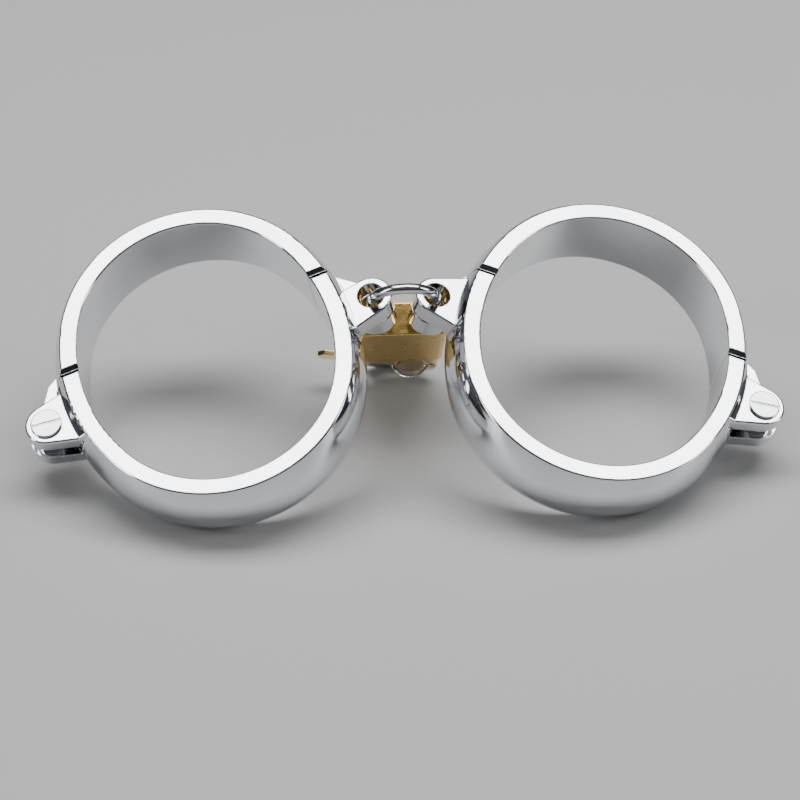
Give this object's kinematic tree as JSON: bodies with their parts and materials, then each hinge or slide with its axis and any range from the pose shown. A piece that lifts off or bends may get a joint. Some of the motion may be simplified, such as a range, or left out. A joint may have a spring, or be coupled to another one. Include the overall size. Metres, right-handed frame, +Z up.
{
  "type": "padlocked handcuffs",
  "caption": "Two rigid hinged oval wrist cuffs in polished metal, held shut side by side by a small brass padlock through their lugs, with keys on a ring.",
  "frame": {"origin": "middle of the floor rectangle that the resting object covers, on the floor", "axes": "+X along the pair of cuffs, from the left cuff to the right one; +Y towards the back, where the padlock hangs; +Z up"},
  "size_m": [0.1806, 0.0788, 0.05],
  "materials": {
    "cuff_chrome": "polished",
    "pin_steel": "satin",
    "shackle_steel": "polished",
    "spring_steel": "satin",
    "body_brass": "satin",
    "plug_brass": "satin",
    "key_nickel": "satin",
    "key_brass": "polished"
  },
  "bodies": {
    "padlock": {"padlock_body": "body_brass", "heel_pin": "pin_steel", "latch_channel_plug": "body_brass", "plug_retainer": "pin_steel", "driver_pins": "plug_brass", "pin_springs": "spring_steel", "chamber_plugs": "body_brass", "shackle_spring": "spring_steel", "latch_spring": "spring_steel"},
    "shackle": {"shackle": "shackle_steel"},
    "latch": {"latch": "plug_brass"},
    "key_and_plug": {"plug": "plug_brass", "cam": "plug_brass", "key_pins": "plug_brass", "key": "key_nickel"},
    "ring": {"key_ring": "shackle_steel"},
    "spare": {"spare_key": "key_brass"},
    "left_front": {"left_fixed_half": "cuff_chrome", "left_hinge_pin": "pin_steel"},
    "left_back": {"left_swing_half": "cuff_chrome"},
    "right_front": {"right_fixed_half": "cuff_chrome", "right_hinge_pin": "pin_steel"},
    "right_back": {"right_swing_half": "cuff_chrome"}
  },
  "joints": [
    {"name": "left_swivel", "type": "hinge", "parent": "padlock", "child": "left_front", "pos_m": [-0.00763, 0.00741, 0.03492], "axis": [0, -0.6088, 0.7934], "range_deg": [-38, 12]},
    {"name": "right_swivel", "type": "hinge", "parent": "padlock", "child": "right_front", "pos_m": [0.00757, 0.00741, 0.03492], "axis": [0, 0.6088, -0.7934], "range_deg": [-38, 12]},
    {"name": "left_open", "type": "hinge", "parent": "left_front", "child": "left_back", "pos_m": [-0.08438, -0.00972, 0.01337], "axis": [-0.165, -0.4246, 0.8902], "range_deg": [0, 100]},
    {"name": "right_open", "type": "hinge", "parent": "right_front", "child": "right_back", "pos_m": [0.08434, -0.0097, 0.01245], "axis": [-0.1736, 0.3927, -0.9031], "range_deg": [0, 100]},
    {"name": "key_turn", "type": "hinge", "parent": "padlock", "child": "key_and_plug", "pos_m": [-0.00003, 0.02142, 0.01668], "axis": [0, 0.6088, -0.7934], "range_deg": [0, 90]},
    {"name": "latch_slide", "type": "slide", "parent": "padlock", "child": "latch", "axis": [1, 0, 0], "range_m": [0, 0.00213], "deforming": ["latch_spring"]},
    {"name": "shackle_lift", "type": "slide", "parent": "padlock", "child": "shackle", "axis": [0, -0.6088, 0.7934], "range_m": [0, 0.0085], "deforming": ["shackle_spring"]},
    {"name": "ring_swing", "type": "hinge", "parent": "key_and_plug", "child": "ring", "pos_m": [-0.00053, 0.03055, 0.00478], "axis": [0, 0.7934, 0.6088], "range_deg": [-6, 6]},
    {"name": "spare_swing", "type": "hinge", "parent": "ring", "child": "spare", "pos_m": [0.0081, 0.02589, 0.00613], "axis": [-0.0837, -0.7906, -0.6066], "range_deg": [-3, 8]}
  ],
  "couplings": [
    {"joint": "latch_slide", "follows": "key_turn", "m_per_rad": 0.0013496},
    {"joint": "shackle_lift", "follows": "key_turn", "m_per_rad": 0.0053476}
  ]
}
